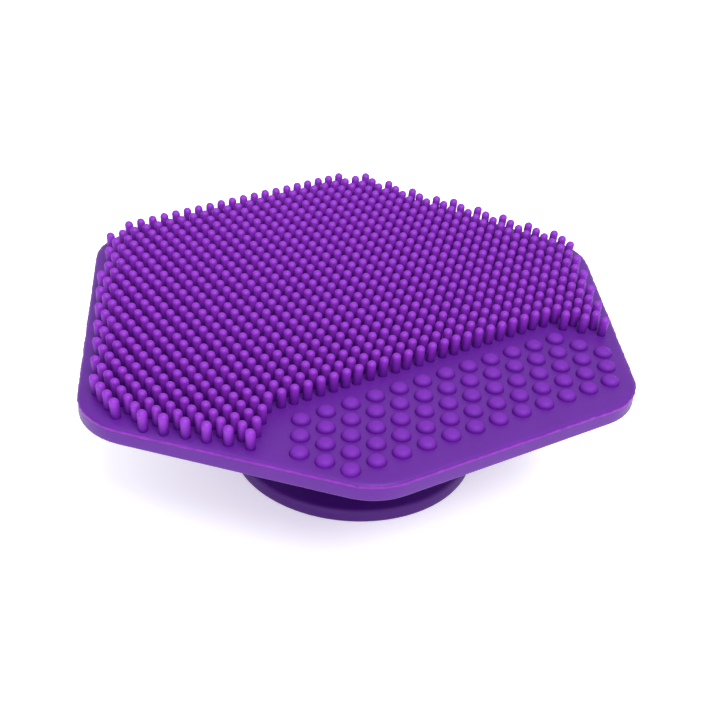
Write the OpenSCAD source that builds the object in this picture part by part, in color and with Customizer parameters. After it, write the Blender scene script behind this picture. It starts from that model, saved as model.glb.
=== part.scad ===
// Hand curry comb: a six-sided soft pad covered in fine bristles and low massage
// domes, carried on a round grip cup that plugs into a socket under the pad.
// The pad is divided at its mould's parting plane: a plain plate below it, and
// above it a thin face that carries the bristles and domes.
// Origin on the grip's axis, at the plane the grip cup rests on. +Z up, millimetres.
// The dome strip lies along the -Y side.

/* [Pad] */
// height of the pad's underside above the resting plane
pad_z = 25.4; // [20:0.1:35]
// pad thickness
pad_t = 3.5; // [2:0.1:6]
// radius of the six rounded corners
corner_r = 11; // [4:0.1:20]
// radius of the rounded upper and lower rim
rim_r = 0.6; // [0.3:0.1:1.5]
// how far the parting bead stands out from the rim
bead_out = 0.2; // [0.1:0.05:0.5]
// height of the parting bead
bead_h = 0.35; // [0.2:0.05:1]

/* [Bristles] */
// spacing of the square bristle grid
pitch = 2.5; // [2:0.1:4]
// bristle height above the pad
bristle_h = 3.6; // [2:0.1:8]
// bristle radius at the root
bristle_root_r = 0.8; // [0.5:0.05:1.1]
// bristle radius just below the rounded tip
bristle_tip_r = 0.68; // [0.4:0.02:1]
// how much stouter the guard bristles are
guard_scale = 1.18; // [1:0.02:1.4]
// distance from the grip axis beyond which a bristle is a guard bristle
guard_from = 43.9; // [40:0.1:48]

/* [Domes] */
// spacing of the domes along a row
dome_pitch = 4.78; // [3:0.02:8]
// spacing of the dome rows
dome_row = 3.76; // [3:0.02:8]
// dome radius at the pad's surface
dome_r = 1.64; // [1:0.01:2.2]
// dome height
dome_h = 1.1; // [0.5:0.05:2]
// distance from the grip axis to the outermost dome row
dome_reach = 37.4; // [35:0.1:42]

/* [Grip] */
// radius of the cup's outer edge
cup_r = 22.7; // [15:0.1:35]
// height of the cup's edge
cup_edge_h = 2.6; // [1.5:0.1:6]
// neck radius
neck_r = 8; // [5:0.5:12]
// height at which the neck's flare begins
flare_z = 4.6; // [4:0.1:10]
// radius of the flare between cup and neck
flare_r = 5; // [2:0.5:10]
// radius of the socket boss under the pad
boss_r = 12.5; // [9:0.5:20]
// height of the socket boss
boss_h = 6; // [4:0.5:12]
// plug shank radius
shank_r = 4.5; // [3:0.25:7]
// plug head radius
head_r = 7; // [5:0.25:10]
// running clearance between plug and socket
fit_gap = 0.08; // [0.02:0.01:0.1]

/* [Hidden] */
// one row per side, anticlockwise: direction of its normal in degrees, distance
// from the axis to the side, distance from the axis to the last bristle centre
SIDES = [
    [-139.2, 46.53, 45.53],
    [-90.5, 43.45, 42.9],
    [-28.2, 46, 43.4],
    [29, 47.9, 45.77],
    [90, 47.75, 45.1],
    [151.8, 48.35, 46.59],
];
corner_steps = 8;
corner_gap = 2.05;
strip_edge = -18.75;
strip_mid = -0.47;
strip_half = 28.75;
dome_mid = 0.34;
grid_shift = [0.78, 0];
grid_n = 22;
pad_top = pad_z + pad_t;
face_z = pad_top - rim_r;
flat_inset = rim_r + 0.4;
boss_z = pad_z - boss_h;
head_t = 2.8;
dome_counts = [12, 13, 14, 13, 12];
dome_ball_r = (dome_r * dome_r + dome_h * dome_h) / (2 * dome_h);
silicone = [0.42, 0.12, 0.66];
silicone_dark = [0.30, 0.08, 0.50];

// ---- plan of the pad -------------------------------------------------------

// point where two sides meet, given their normals and distances
function meet(a1, d1, a2, d2) =
    [
        (d1 * sin(a2) - d2 * sin(a1)) / sin(a2 - a1),
        (d2 * cos(a1) - d1 * cos(a2)) / sin(a2 - a1),
    ];

// centre of the rounded corner after side i
function corner(i) =
    let (s = SIDES[i], t = SIDES[(i + 1) % 6])
    meet(s[0], s[1] - corner_r, t[0], t[1] - corner_r);

// direction of the side after side i, kept larger than side i's own
function next_dir(i) = i < 5 ? SIDES[i + 1][0] : SIDES[0][0] + 360;

// the pad's outline moved in by a distance
function outline(inset) =
    [
        for (i = [0:5])
            for (k = [0:corner_steps])
                let (a = SIDES[i][0] + (next_dir(i) - SIDES[i][0]) * k / corner_steps)
                corner(i) + (corner_r - inset) * [cos(a), sin(a)]
    ];

// ---- which grid points carry a bristle -------------------------------------

// how far a point reaches towards side i
function reach(p, i) = p[0] * cos(SIDES[i][0]) + p[1] * sin(SIDES[i][0]);

// true if the point is behind every side's bristle limit
function in_sides(p) = len([for (i = [0:5]) if (reach(p, i) > SIDES[i][2]) i]) == 0;

// true if the point lies in the wedge of rounded corner i
function in_wedge(p, i) =
    let (v = p - corner(i), a = SIDES[i][0], b = next_dir(i))
    v[0] * -sin(a) + v[1] * cos(a) > 0 && v[0] * -sin(b) + v[1] * cos(b) < 0
        && v[0] * cos((a + b) / 2) + v[1] * sin((a + b) / 2) > 0;

// true if the point keeps its distance from every rounded corner
function in_corners(p) =
    len([for (i = [0:5]) if (in_wedge(p, i) && norm(p - corner(i)) > corner_r - corner_gap) i]) == 0;

// true if the point lies in the bare strip that carries the domes
function in_strip(p) =
    p[1] < strip_edge && abs(p[0] - strip_mid) < strip_half + strip_edge - p[1];

function in_field(p) = in_sides(p) && in_corners(p) && !in_strip(p);

// which zone of the face a point is in: 0 main field, -1 left end, 1 right end
function zone(p) = p[1] > strip_edge ? 0 : p[0] < strip_mid ? -1 : 1;

function is_guard(p) = reach(p, 0) > guard_from;

// every grid point that carries a bristle
POINTS = [
    for (i = [-grid_n:grid_n])
        for (k = [-grid_n:grid_n])
            let (p = grid_shift + pitch * [i, k])
            if (in_field(p)) p
];

// ---- the pad's pieces ------------------------------------------------------

module pad_plate() {
    color(silicone)
    hull() {
        for (a = [0:30:60])
            translate([0, 0, pad_z + rim_r * (1 - cos(a))])
                linear_extrude(0.01)
                    polygon(outline(rim_r * (1 - sin(a))));
        translate([0, 0, pad_z + rim_r])
            linear_extrude(face_z - pad_z - rim_r)
                polygon(outline(0));
    }
}

module parting_bead() {
    color(silicone)
    translate([0, 0, face_z - bead_h])
        linear_extrude(bead_h)
            difference() {
                polygon(outline(-bead_out));
                polygon(outline(0));
            }
}

// the rounded edge of the pad's upper face
module face_rim() {
    difference() {
        hull()
            for (a = [0:30:90])
                translate([0, 0, pad_top - rim_r * (1 - cos(a)) - (a < 90 ? 0.01 : 0)])
                    linear_extrude(0.01)
                        polygon(outline(rim_r * (1 - sin(a))));
        translate([0, 0, face_z - 1])
            linear_extrude(3)
                polygon(outline(flat_inset));
    }
}

// the thin upper face of the pad, rounded at its edge
module face() {
    translate([0, 0, face_z])
        linear_extrude(rim_r)
            polygon(outline(flat_inset));
    face_rim();
}

// plan of one zone of the face: the main field, an end beside the strip, or the strip
module zone_block(side) {
    far = 80;
    translate([0, 0, face_z - 1])
        linear_extrude(3)
            if (side == 0)
                translate([-far, strip_edge])
                    square([2 * far, far]);
            else if (side == 2)
                polygon([
                    [strip_mid - strip_half, strip_edge],
                    [strip_mid + strip_half, strip_edge],
                    [strip_mid + strip_half + far, strip_edge - far],
                    [strip_mid - strip_half - far, strip_edge - far],
                ]);
            else
                polygon([
                    [strip_mid + side * strip_half, strip_edge],
                    [strip_mid + side * (strip_half + far), strip_edge - far],
                    [strip_mid + side * (strip_half + far), strip_edge],
                ]);
}

// one upright bristle with a rounded tip
module bristle(k) {
    tip_r = bristle_tip_r * k;
    rotate_extrude($fn = 24)
        polygon([
            [0, 0],
            [bristle_root_r * k, 0],
            [tip_r, bristle_h - tip_r * 0.9],
            [tip_r * 0.78, bristle_h - tip_r * 0.3],
            [tip_r * 0.35, bristle_h],
            [0, bristle_h],
        ]);
}

// one zone of the face with its bristles standing on it
module bristle_zone(side) {
    intersection() {
        face();
        zone_block(side);
    }
    for (p = POINTS)
        if (zone(p) == side && !is_guard(p))
            translate([p[0], p[1], pad_top])
                bristle(1);
}

module bristle_field() {
    color(silicone)
    bristle_zone(0);
}

module left_bristles() {
    color(silicone)
    bristle_zone(-1);
}

module right_bristles() {
    color(silicone)
    bristle_zone(1);
}

module guard_bristles() {
    color(silicone)
    for (p = POINTS)
        if (is_guard(p))
            translate([p[0], p[1], pad_top])
                bristle(guard_scale);
}

// one low round dome, the top slice of a ball
module dome() {
    intersection() {
        translate([0, 0, dome_h - dome_ball_r])
            sphere(dome_ball_r, $fn = 32);
        translate([-3, -3, 0])
            cube([6, 6, 3]);
    }
}

module dome_strip() {
    color(silicone)
    union() {
        intersection() {
            face();
            zone_block(2);
        }
        for (row = [0:4])
            for (k = [0:dome_counts[row] - 1])
                translate([
                    dome_mid + dome_pitch * (k - (dome_counts[row] - 1) / 2),
                    dome_row * (4 - row) - dome_reach,
                    pad_top,
                ])
                    dome();
    }
}

module socket_boss() {
    color(silicone)
    translate([0, 0, boss_z])
        difference() {
            cylinder(h = boss_h, r = boss_r, $fn = 96);
            translate([0, 0, -1])
                cylinder(h = boss_h, r = shank_r + fit_gap, $fn = 96);
            translate([0, 0, boss_h - head_t - 2 * fit_gap])
                cylinder(h = boss_h, r = head_r + fit_gap, $fn = 96);
        }
}

// ---- the grip's pieces -----------------------------------------------------

module grip_cup() {
    color(silicone_dark)
    rotate_extrude($fn = 96)
        polygon([
            [0, 0],
            [cup_r - 0.5, 0],
            [cup_r, 0.5],
            [cup_r - 0.4, cup_edge_h - 0.5],
            [cup_r - 0.9, cup_edge_h],
            [neck_r + flare_r, flare_z],
            [0, flare_z],
        ]);
}

module grip_neck() {
    color(silicone_dark)
    translate([0, 0, flare_z])
        difference() {
            cylinder(h = boss_z - fit_gap - flare_z, r = neck_r + flare_r, $fn = 96);
            translate([0, 0, flare_r])
                rotate_extrude($fn = 96)
                    translate([neck_r + flare_r, 0])
                        circle(flare_r, $fn = 64);
            translate([0, 0, flare_r])
                difference() {
                    cylinder(h = 30, r = neck_r + flare_r + 1, $fn = 96);
                    translate([0, 0, -1])
                        cylinder(h = 32, r = neck_r, $fn = 96);
                }
        }
}

module grip_plug() {
    color(silicone_dark)
    translate([0, 0, boss_z - fit_gap])
        rotate_extrude($fn = 96)
            polygon([
                [0, 0],
                [shank_r, 0],
                [shank_r, boss_h - head_t],
                [head_r, boss_h - head_t],
                [head_r, boss_h - 0.8],
                [head_r - 0.8, boss_h],
                [0, boss_h],
            ]);
}

pad_plate();
parting_bead();
bristle_field();
left_bristles();
right_bristles();
guard_bristles();
dome_strip();
socket_boss();
grip_cup();
grip_neck();
grip_plug();
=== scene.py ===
"""Looks of a hand curry comb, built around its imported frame.

Metres, +Z up, the grip's axis on Z. The soft pad, its bristles, domes and socket ride
on the body "pad"; the cup and neck that the hand holds ride on the body "grip".
"""
import math
import random

import bmesh
import bpy
from mathutils import Matrix, Vector, noise
from mathutils.kdtree import KDTree


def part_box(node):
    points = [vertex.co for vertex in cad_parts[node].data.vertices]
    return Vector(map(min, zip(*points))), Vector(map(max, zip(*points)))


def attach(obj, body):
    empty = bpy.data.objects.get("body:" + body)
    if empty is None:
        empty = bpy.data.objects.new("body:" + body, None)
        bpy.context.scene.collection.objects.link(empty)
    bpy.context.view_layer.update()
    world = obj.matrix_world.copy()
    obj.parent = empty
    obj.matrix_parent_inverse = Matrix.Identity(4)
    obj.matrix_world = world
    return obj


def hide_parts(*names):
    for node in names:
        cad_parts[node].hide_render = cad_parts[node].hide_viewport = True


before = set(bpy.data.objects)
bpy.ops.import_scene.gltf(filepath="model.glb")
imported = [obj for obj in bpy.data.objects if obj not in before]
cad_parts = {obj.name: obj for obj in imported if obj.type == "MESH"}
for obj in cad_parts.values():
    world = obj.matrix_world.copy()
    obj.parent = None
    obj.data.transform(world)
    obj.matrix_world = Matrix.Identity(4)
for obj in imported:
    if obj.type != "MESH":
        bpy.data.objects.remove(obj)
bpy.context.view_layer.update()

MM = 0.001
random.seed(11)

# ---- sizes read from the frame ----------------------------------------------

PLATE_LO, PLATE_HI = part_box("pad_plate")
PLATE_MIDDLE = (PLATE_LO.xy + PLATE_HI.xy) / 2
STRIP_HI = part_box("dome_strip")[1]
GUARD_LO, GUARD_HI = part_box("guard_bristles")
BEAD_LO, BEAD_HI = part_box("parting_bead")
BOSS_LO, BOSS_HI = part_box("socket_boss")
CUP_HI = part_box("grip_cup")[1]
NECK_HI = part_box("grip_neck")[1]
PLUG_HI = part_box("grip_plug")[1]

UNDERSIDE_Z = PLATE_LO.z
PARTING_Z = PLATE_HI.z
FACE_Z = GUARD_LO.z
BRISTLE_H = GUARD_HI.z - FACE_Z
DOME_H = STRIP_HI.z - FACE_Z
BEAD_OUT = (BEAD_HI.x - BEAD_LO.x - PLATE_HI.x + PLATE_LO.x) / 2
BEAD_H = BEAD_HI.z - BEAD_LO.z
BOSS_R = BOSS_HI.x
CUP_R = CUP_HI.x
HEAD_R = PLUG_HI.x

# ---- sizes of the finish ----------------------------------------------------

BRISTLE_R = 0.78 * MM
GUARD_R = 0.83 * MM
# how far a bristle's tip stands beyond its foot, for each unit away from SPLAY_FROM
SPLAY = 0.0075
SPLAY_FROM = Vector((-20, -12)) * MM
# how deep bristles, domes and the boss are sunk in the pad
BURIED = 0.2 * MM
DOME_R = 1.62 * MM
NECK_R = 8.0 * MM
# the plug's shank and head in their bore, clearance included
SHANK_R = 4.58 * MM
CHAMBER_R = HEAD_R + 0.08 * MM
CHAMBER_H = 2.96 * MM
# how far in the rounding of the pad's upper rim reaches
RIM_IN = 2.2 * MM
UNDER_R = 0.4 * MM


# ---- reading the frame ------------------------------------------------------

def node_points(node):
    """Every vertex of a CAD node."""
    return [v.co.copy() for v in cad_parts[node].data.vertices]


def tops(node, reach):
    """Plan centres of the bristles or domes that stand on a node."""
    points = node_points(node)
    high = max(p.z for p in points)
    tips = [p for p in points if p.z > high - 0.02 * MM]
    tree = KDTree(len(tips))
    for i, p in enumerate(tips):
        tree.insert(p, i)
    tree.balance()
    centres = []
    used = set()
    for i, p in enumerate(tips):
        if i not in used:
            near = tree.find_range(p, reach)
            used.update(index for _, index, _ in near)
            centres.append(sum((co for co, _, _ in near), Vector()).xy / len(near))
    return sorted(centres, key=lambda c: (round(c.y, 5), c.x))


def pad_outline():
    """The pad's outline, anticlockwise, from the upper edge of its plate."""
    ring = {}
    for p in node_points("pad_plate"):
        if p.z > PARTING_Z - 0.002 * MM:
            ring[(round(p.x, 6), round(p.y, 6))] = p.xy
    return sorted(
        ring.values(), key=lambda q: math.atan2(q.y - PLATE_MIDDLE.y, q.x - PLATE_MIDDLE.x)
    )


OUTLINE = pad_outline()


# ---- shape helpers ----------------------------------------------------------

def quarter(steps):
    """Angles from 0 to 90 degrees."""
    return [math.pi / 2 * i / steps for i in range(steps + 1)]


def divided(points, step):
    """A closed outline with every long run cut into steps."""
    out = []
    for a, b in zip(points, points[1:] + points[:1]):
        count = max(1, round((b - a).length / step))
        out += [a.lerp(b, i / count) for i in range(count)]
    return out


def outward(points):
    """Unit normals of a closed anticlockwise outline."""
    out = []
    for i, p in enumerate(points):
        along = points[(i + 1) % len(points)] - points[i - 1]
        out.append(Vector((along.y, -along.x)).normalized())
    return out


def add_ring(bm, points):
    return [bm.verts.new(p) for p in points]


def bridge(bm, low, high):
    """Join two rings of equal length with quads."""
    count = len(low)
    for i in range(count):
        j = (i + 1) % count
        bm.faces.new((low[i], low[j], high[j], high[i]))


def cap(bm, ring, centre, up=True):
    """Close a ring to one point."""
    tip = bm.verts.new(centre)
    count = len(ring)
    for i in range(count):
        j = (i + 1) % count
        bm.faces.new((ring[i], ring[j], tip) if up else (ring[j], ring[i], tip))


def add_turned(bm, profile, foot, segments, lean=Vector((0, 0))):
    """A turned form from (radius, height) pairs; its axis runs from foot, leaning by lean."""
    rings = []
    for radius, height in profile[:-1]:
        middle = foot + Vector((lean.x * height, lean.y * height, height))
        rings.append(add_ring(bm, [
            (
                middle.x + radius * math.cos(2 * math.pi * k / segments),
                middle.y + radius * math.sin(2 * math.pi * k / segments),
                middle.z,
            )
            for k in range(segments)
        ]))
    for low, high in zip(rings, rings[1:]):
        bridge(bm, low, high)
    top = profile[-1][1]
    base = profile[0][1]
    cap(bm, rings[-1], foot + Vector((lean.x * top, lean.y * top, top)))
    cap(bm, rings[0], foot + Vector((lean.x * base, lean.y * base, base)), up=False)


def make_piece(name, bm, material, body, nodes):
    """Turn a bmesh into a piece that rides on a body and stands for CAD nodes."""
    bmesh.ops.recalc_face_normals(bm, faces=bm.faces[:])
    mesh = bpy.data.meshes.new(name)
    bm.to_mesh(mesh)
    bm.free()
    mesh.polygons.foreach_set("use_smooth", [True] * len(mesh.polygons))
    mesh.materials.append(material)
    piece = bpy.data.objects.new(name, mesh)
    bpy.context.scene.collection.objects.link(piece)
    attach(piece, body)
    if nodes:
        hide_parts(*nodes)
    return piece


# ---- materials --------------------------------------------------------------

def silicone(name, colour, deep, roughness=0.46, gloss=0.32, cloud=120, rise=None):
    """Moulded silicone: cloudy pigment, a faint satin grain and light that soaks in a little.

    Between the two heights of rise the colour goes from deep to full and the shine grows: this is
    painted shade, darker and duller at the root of a bristle, where light hardly reaches, lighter at
    its free end.
    """
    mat = bpy.data.materials.new(name)
    mat.use_nodes = True
    nodes = mat.node_tree.nodes
    links = mat.node_tree.links
    shader = nodes["Principled BSDF"]
    shader.inputs["IOR"].default_value = 1.42
    shader.inputs["Subsurface Weight"].default_value = 0.04
    shader.inputs["Subsurface Radius"].default_value = (0.5, 0.15, 1.0)
    shader.inputs["Subsurface Scale"].default_value = 0.8 * MM
    shader.inputs["Specular IOR Level"].default_value = gloss
    place = nodes.new("ShaderNodeTexCoord")

    def add_noise(scale, detail):
        node = nodes.new("ShaderNodeTexNoise")
        node.inputs["Scale"].default_value = scale
        node.inputs["Detail"].default_value = detail
        links.new(place.outputs["Object"], node.inputs["Vector"])
        return node

    def add_range(source, low, high, span=(0, 1)):
        node = nodes.new("ShaderNodeMapRange")
        node.inputs["From Min"].default_value = span[0]
        node.inputs["From Max"].default_value = span[1]
        node.inputs["To Min"].default_value = low
        node.inputs["To Max"].default_value = high
        links.new(source, node.inputs["Value"])
        return node.outputs["Result"]

    pigment_and_shade = add_noise(cloud, 3).outputs["Fac"]
    fine = add_noise(2600, 4).outputs["Fac"]

    # Painted shade: towards the root the colour darkens and the reflection dulls.
    if rise:
        mottle = 0.5
        axes = nodes.new("ShaderNodeSeparateXYZ")
        links.new(place.outputs["Object"], axes.inputs["Vector"])
        height = axes.outputs["Z"]
        blend = nodes.new("ShaderNodeMath")
        blend.operation = "MULTIPLY_ADD"
        blend.inputs[1].default_value = mottle
        links.new(pigment_and_shade, blend.inputs[0])
        links.new(add_range(height, -mottle / 2, 1 - mottle / 2, rise), blend.inputs[2])
        pigment_and_shade = blend.outputs["Value"]
        # Painted shade on the reflection: the specular level falls towards the root.
        shine_with_painted_shade = add_range(height, 0.1 * gloss, gloss, rise)
        links.new(shine_with_painted_shade, shader.inputs["Specular IOR Level"])

    tint = nodes.new("ShaderNodeMix")
    tint.data_type = "RGBA"
    tint.inputs["A"].default_value = (*deep, 1)
    tint.inputs["B"].default_value = (*colour, 1)
    links.new(pigment_and_shade, tint.inputs["Factor"])
    links.new(tint.outputs["Result"], shader.inputs["Base Color"])
    links.new(add_range(fine, roughness - 0.07, roughness + 0.07), shader.inputs["Roughness"])

    bump = nodes.new("ShaderNodeBump")
    bump.inputs["Strength"].default_value = 0.5
    bump.inputs["Distance"].default_value = 0.09 * MM
    links.new(fine, bump.inputs["Height"])
    links.new(bump.outputs["Normal"], shader.inputs["Normal"])
    return mat


# ---- the pad ----------------------------------------------------------------

def make_pad(material):
    """The pad's body: flat underside, plain wall, rounded upper rim and flat face."""
    path = divided(OUTLINE, 2.5 * MM)
    normals = outward(path)
    wall_h = PARTING_Z - UNDERSIDE_Z
    pad_h = FACE_Z - UNDERSIDE_Z
    rim_h = FACE_Z - PARTING_Z
    edge = [(2.2 * MM, 0), (0.9 * MM, 0)]
    edge += [(UNDER_R * (1 - math.sin(a)), UNDER_R * (1 - math.cos(a))) for a in quarter(4)]
    edge += [(0, 1.1 * MM), (0, wall_h - 0.3 * MM)]
    edge += [(RIM_IN * (1 - math.cos(a)), wall_h + rim_h * math.sin(a)) for a in quarter(7)]
    edge += [(RIM_IN + inset, pad_h) for inset in (0.8 * MM, 2 * MM)]

    bm = bmesh.new()

    def level(points, height):
        return add_ring(bm, [(p.x, p.y, UNDERSIDE_Z + height) for p in points])

    rings = []
    shares = (0.25, 0.5, 0.75)
    inner = [p - n * edge[0][0] for p, n in zip(path, normals)]
    rings += [level([PLATE_MIDDLE.lerp(p, share) for p in inner], 0) for share in shares]
    rings += [level([p - n * inset for p, n in zip(path, normals)], height) for inset, height in edge]
    inner = [p - n * edge[-1][0] for p, n in zip(path, normals)]
    rings += [
        level([PLATE_MIDDLE.lerp(p, share) for p in inner], pad_h)
        for share in reversed(shares)
    ]
    for low, high in zip(rings, rings[1:]):
        bridge(bm, low, high)
    cap(bm, rings[0], (*PLATE_MIDDLE, UNDERSIDE_Z), up=False)
    cap(bm, rings[-1], (*PLATE_MIDDLE, FACE_Z))
    return make_piece("pad_body", bm, material, "pad", ["pad_plate"])


def make_parting_line(material):
    """The ragged line of flash left where the two halves of the mould met."""
    path = divided(OUTLINE, 0.45 * MM)
    normals = outward(path)
    middle_z = PARTING_Z - BEAD_H / 2
    sides = 8
    bm = bmesh.new()
    rings = []
    for p, n in zip(path, normals):
        spot = Vector((p.x, p.y, 0))
        swell = 0.6 + 0.5 * noise.noise(spot * 420) + 0.6 * noise.noise(spot * 1300)
        out = BEAD_OUT * max(0.12, min(1, swell))
        half = BEAD_H / 2 * (1.4 + 0.8 * noise.noise(spot * 900 + Vector((0, 0, 7))))
        drift = 0.09 * MM * noise.noise(spot * 250 + Vector((0, 0, 3)))
        ring = []
        for k in range(sides):
            a = 2 * math.pi * k / sides
            q = p + n * (out * math.cos(a))
            ring.append((q.x, q.y, middle_z + drift + half * math.sin(a)))
        rings.append(add_ring(bm, ring))
    for low, high in zip(rings, rings[1:] + rings[:1]):
        bridge(bm, low, high)
    return make_piece("parting_line", bm, material, "pad", ["parting_bead"])


def bristle_profile(radius):
    """Half section of a bristle: buried foot, small flare, slight swell and blunt round tip."""
    root = 0.97 * radius
    tip = 1.03 * radius
    flare = 0.05 * MM
    cap_h = 0.98 * radius
    fullness = 2 / 2.12
    foot = [(root + flare, -BURIED)]
    foot += [(root + flare * (1 - math.sin(a)), flare * (1 - math.cos(a))) for a in quarter(3)]
    shaft = [((radius + tip) / 2, BRISTLE_H * 0.45)]
    tip_cap = [
        (tip * math.cos(a) ** fullness, BRISTLE_H - cap_h + cap_h * math.sin(a) ** fullness)
        for a in quarter(7)[:-1]
    ]
    return foot + shaft + tip_cap + [(0, BRISTLE_H)]


def make_bristles(name, node, radius, material):
    """One zone of bristles. Tips keep their places; feet shift so that the bristles splay."""
    profile = bristle_profile(radius)
    bm = bmesh.new()
    for tip in tops(node, 0.9 * MM):
        stray = Vector((random.gauss(0, 0.02), random.gauss(0, 0.02)))
        lean = (tip - SPLAY_FROM) * SPLAY / BRISTLE_H + stray
        base = tip - lean * BRISTLE_H
        foot = Vector((base.x, base.y, FACE_Z))
        scale = random.uniform(0.985, 1.01)
        add_turned(bm, [(r, h * scale) for r, h in profile], foot, 14, lean)
    return make_piece(name, bm, material, "pad", [node])


def make_domes(material):
    """The low full-shouldered domes of the front strip."""
    fullness = 2 / 2.2
    flare = 0.03 * MM
    profile = [(DOME_R + flare, -BURIED)]
    profile += [(DOME_R + flare * (1 - math.sin(a)), flare * (1 - math.cos(a))) for a in quarter(2)]
    profile += [
        (DOME_R * math.cos(a) ** fullness, flare + (DOME_H - flare) * math.sin(a) ** fullness)
        for a in quarter(11)[1:-1]
    ]
    profile.append((0, DOME_H))
    bm = bmesh.new()
    for centre in tops("dome_strip", 0.9 * MM):
        add_turned(bm, profile, Vector((centre.x, centre.y, FACE_Z)), 28)
    return make_piece("massage_domes", bm, material, "pad", ["dome_strip"])


def make_socket(material):
    """The boss under the pad that holds the grip's plug, filleted where it joins the pad."""
    base = BOSS_LO.z
    edge_r = 1.0 * MM
    fillet = 1.8 * MM
    chamber_z = UNDERSIDE_Z - CHAMBER_H
    profile = [(SHANK_R, base), (NECK_R, base)]
    profile += [
        (BOSS_R - edge_r * (1 - math.sin(a)), base + edge_r * (1 - math.cos(a)))
        for a in quarter(5)
    ]
    profile += [
        (BOSS_R + fillet * (1 - math.cos(a)), UNDERSIDE_Z - fillet * (1 - math.sin(a)))
        for a in quarter(6)
    ]
    profile += [
        (BOSS_R + fillet, UNDERSIDE_Z + BURIED),
        (CHAMBER_R, UNDERSIDE_Z + BURIED),
        (CHAMBER_R, chamber_z),
        (SHANK_R, chamber_z),
    ]
    bm = bmesh.new()
    segments = 96
    rings = [
        add_ring(bm, [
            (r * math.cos(2 * math.pi * k / segments), r * math.sin(2 * math.pi * k / segments), z)
            for k in range(segments)
        ])
        for r, z in profile
    ]
    for low, high in zip(rings, rings[1:] + rings[:1]):
        bridge(bm, low, high)
    return make_piece("socket_sleeve", bm, material, "pad", ["socket_boss"])


# ---- the grip ---------------------------------------------------------------

def make_grip(material):
    """The cup and its neck: a thick soft-edged disc that sweeps up into a plain stem."""
    wall_h = 2.6 * MM
    edge_r = 0.85 * MM
    edge_in = 0.1 * MM
    under_r = 0.5 * MM
    stem_r = 0.6 * MM
    ledge = 1.2 * MM
    swell = 0.9 * MM
    sweep_steps = 24
    top = NECK_HI.z
    rise = 0.6 * (top - wall_h)
    profile = [(CUP_R * share, 0) for share in (0.3, 0.6, 0.85, 0.95)]
    profile += [
        (CUP_R - under_r * (1 - math.sin(a)), under_r * (1 - math.cos(a)))
        for a in quarter(5)
    ]
    profile += [(CUP_R, wall_h - edge_r - 0.5 * MM)]
    profile += [
        (CUP_R - edge_in - edge_r * (1 - math.cos(a)), wall_h - edge_r * (1 - math.sin(a)))
        for a in quarter(6)
    ]
    for i in range(1, sweep_steps + 1):
        t = i / sweep_steps
        sweep = (1 - t) ** 2.6
        radius = NECK_R + (CUP_R - ledge - NECK_R) * sweep
        profile.append((radius, wall_h + rise * t ** 2.3 + swell * (1 - sweep)))
    profile += [(NECK_R, top - 0.8 * MM)]
    profile += [
        (NECK_R - stem_r * (1 - math.cos(a)), top - stem_r * (1 - math.sin(a)))
        for a in quarter(4)
    ]
    profile += [(SHANK_R, top), (0, top)]
    bm = bmesh.new()
    add_turned(bm, profile, Vector((0, 0, 0)), 128)
    return make_piece("grip_handle", bm, material, "grip", ["grip_cup", "grip_neck"])


# ---- studio -----------------------------------------------------------------

def make_floor():
    """A wide pale paper ground just under the cup, with a glow that keeps shadows faint."""
    bm = bmesh.new()
    just_under = Matrix.Translation((0, 0, -0.05 * MM))
    bmesh.ops.create_grid(bm, x_segments=40, y_segments=40, size=2.5, matrix=just_under)
    mesh = bpy.data.meshes.new("studio_floor")
    bm.to_mesh(mesh)
    bm.free()
    floor = bpy.data.objects.new("studio_floor", mesh)
    bpy.context.scene.collection.objects.link(floor)
    mat = bpy.data.materials.new("pale_paper")
    mat.use_nodes = True
    nodes = mat.node_tree.nodes
    links = mat.node_tree.links
    shader = nodes["Principled BSDF"]
    shader.inputs["Roughness"].default_value = 0.9
    shader.inputs["Emission Color"].default_value = (1, 1, 1, 1)
    shader.inputs["Emission Strength"].default_value = 0.42
    grain = nodes.new("ShaderNodeTexNoise")
    grain.inputs["Scale"].default_value = 300
    tint = nodes.new("ShaderNodeMix")
    tint.data_type = "RGBA"
    tint.inputs["A"].default_value = (0.88, 0.88, 0.89, 1)
    tint.inputs["B"].default_value = (0.92, 0.92, 0.92, 1)
    links.new(grain.outputs["Fac"], tint.inputs["Factor"])
    links.new(tint.outputs["Result"], shader.inputs["Base Color"])
    mesh.materials.append(mat)
    return floor


def direction(azimuth, elevation):
    """Unit vector from the comb towards a lamp; azimuth 0 is the front, -Y."""
    a = math.radians(azimuth)
    e = math.radians(elevation)
    return Vector((math.sin(a) * math.cos(e), -math.cos(a) * math.cos(e), math.sin(e)))


def add_sun(name, azimuth, elevation, strength, spread):
    """A distant soft lamp, so that the floor is lit evenly."""
    lamp = bpy.data.lights.new(name, "SUN")
    lamp.energy = strength
    lamp.angle = math.radians(spread)
    obj = bpy.data.objects.new(name, lamp)
    obj.rotation_euler = direction(azimuth, elevation).to_track_quat("Z", "Y").to_euler()
    bpy.context.scene.collection.objects.link(obj)


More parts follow.
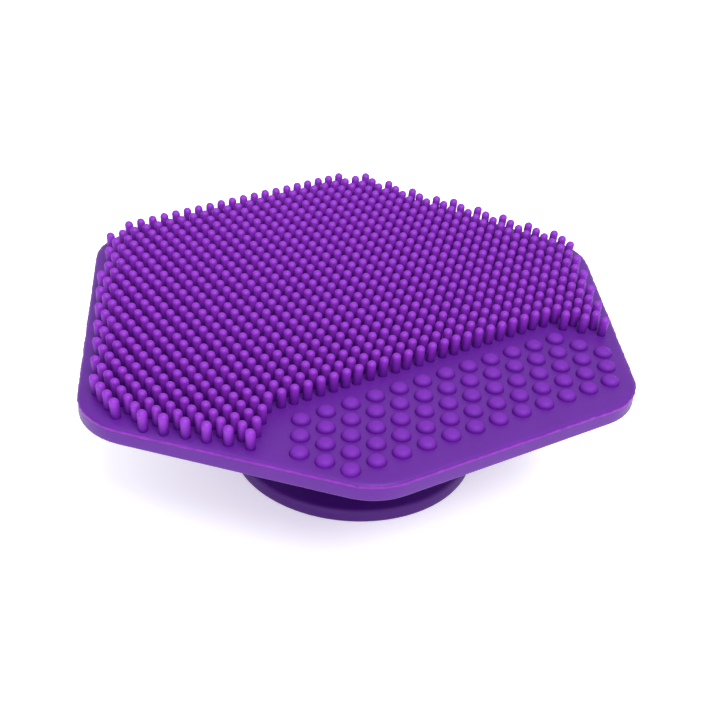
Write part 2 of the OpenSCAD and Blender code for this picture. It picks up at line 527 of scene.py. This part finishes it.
def set_studio():
    """White surroundings, brighter above, a broad lamp high in front and a weak one low at the left."""
    horizon_level = 0.45
    zenith_level = 1.15
    scene = bpy.context.scene
    scene.view_settings.view_transform = "Standard"
    world = bpy.data.worlds.new("studio")
    world.use_nodes = True
    nodes = world.node_tree.nodes
    links = world.node_tree.links
    sky = nodes["Background"]
    sky.inputs["Color"].default_value = (1, 1, 1, 1)
    place = nodes.new("ShaderNodeTexCoord")
    axes = nodes.new("ShaderNodeSeparateXYZ")
    links.new(place.outputs["Generated"], axes.inputs["Vector"])
    glow = nodes.new("ShaderNodeMapRange")
    glow.inputs["To Min"].default_value = horizon_level
    glow.inputs["To Max"].default_value = zenith_level
    links.new(axes.outputs["Z"], glow.inputs["Value"])
    path = nodes.new("ShaderNodeLightPath")
    level = nodes.new("ShaderNodeMix")
    level.inputs["B"].default_value = 1.0
    links.new(path.outputs["Is Camera Ray"], level.inputs["Factor"])
    links.new(glow.outputs["Result"], level.inputs["A"])
    links.new(level.outputs["Result"], sky.inputs["Strength"])
    scene.world = world
    add_sun("key_light", -5, 60, 3.0, 35)
    add_sun("fill_light", -50, 28, 0.7, 60)


def set_camera():
    """Close to the comb and above its front corner, slightly rolled."""
    azimuth = math.radians(-34.89)
    elevation = math.radians(33.13)
    roll = math.radians(4.07)
    aim = Vector((-10.2, -15.36, 31.75)) * MM
    distance = 251.5 * MM
    back = Vector((
        math.sin(azimuth) * math.cos(elevation),
        -math.cos(azimuth) * math.cos(elevation),
        math.sin(elevation),
    ))
    right = Vector((math.cos(azimuth), math.sin(azimuth), 0))
    up = back.cross(right)
    side = right * math.cos(roll) + up * math.sin(roll)
    top = up * math.cos(roll) - right * math.sin(roll)
    camera = bpy.data.cameras.new("camera")
    camera.lens = 74.7
    camera.sensor_width = 36
    camera.clip_start = 0.01
    obj = bpy.data.objects.new("camera", camera)
    bpy.context.scene.collection.objects.link(obj)
    turn = Matrix((side, top, back)).transposed().to_4x4()
    obj.matrix_world = Matrix.Translation(aim + back * distance) @ turn
    bpy.context.scene.camera = obj


# ---- build ------------------------------------------------------------------

# Heights over which painted shade darkens and dulls the roots of bristles and domes.
BRISTLE_SHADE_RISE = (FACE_Z, FACE_Z + 0.75 * BRISTLE_H)
DOME_SHADE_RISE = (FACE_Z, FACE_Z + 0.8 * DOME_H)

set_camera()
set_studio()
make_floor()

# The pad and its socket are given a darker purple than the bristle tips, though all are one moulded
# silicone: painted shade.
pad_mat = silicone("pad_silicone", (0.086, 0.008, 0.218), (0.068, 0.006, 0.176))
# The bristles' deep colour is painted shade at their roots, mixed in by height with a little cloudy
# tone.
bristle_mat = silicone(
    "bristle_silicone", (0.18, 0.014, 0.37), (0.045, 0.002, 0.14),
    roughness=0.54, gloss=0.42, cloud=900, rise=BRISTLE_SHADE_RISE,
)
# The domes' purple, darker than the bristle tips' though one silicone, and their deep colour are
# painted shade, darkest at the foot.
dome_mat = silicone(
    "dome_silicone", (0.115, 0.010, 0.275), (0.070, 0.005, 0.18),
    roughness=0.6, gloss=0.28, cloud=300, rise=DOME_SHADE_RISE,
)
# The parting line is given a brighter, redder purple than the pad: a painted glow standing for light
# through the thin flash.
bead_lit_mat = silicone("bead_silicone", (0.24, 0.010, 0.38), (0.07, 0.004, 0.20), cloud=900)
# The grip is given a darker purple than the pad: painted shade, for the shadow under the pad.
grip_shaded_mat = silicone("grip_silicone", (0.074, 0.008, 0.185), (0.062, 0.006, 0.16), gloss=0.36)

make_pad(pad_mat)
make_parting_line(bead_lit_mat)
make_bristles("main_bristles", "bristle_field", BRISTLE_R, bristle_mat)
make_bristles("left_end_bristles", "left_bristles", BRISTLE_R, bristle_mat)
make_bristles("right_end_bristles", "right_bristles", BRISTLE_R, bristle_mat)
make_bristles("guard_row", "guard_bristles", GUARD_R, bristle_mat)
make_domes(dome_mat)
make_socket(pad_mat)
make_grip(grip_shaded_mat)

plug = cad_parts["grip_plug"]
for slot in plug.material_slots:
    slot.material = grip_shaded_mat
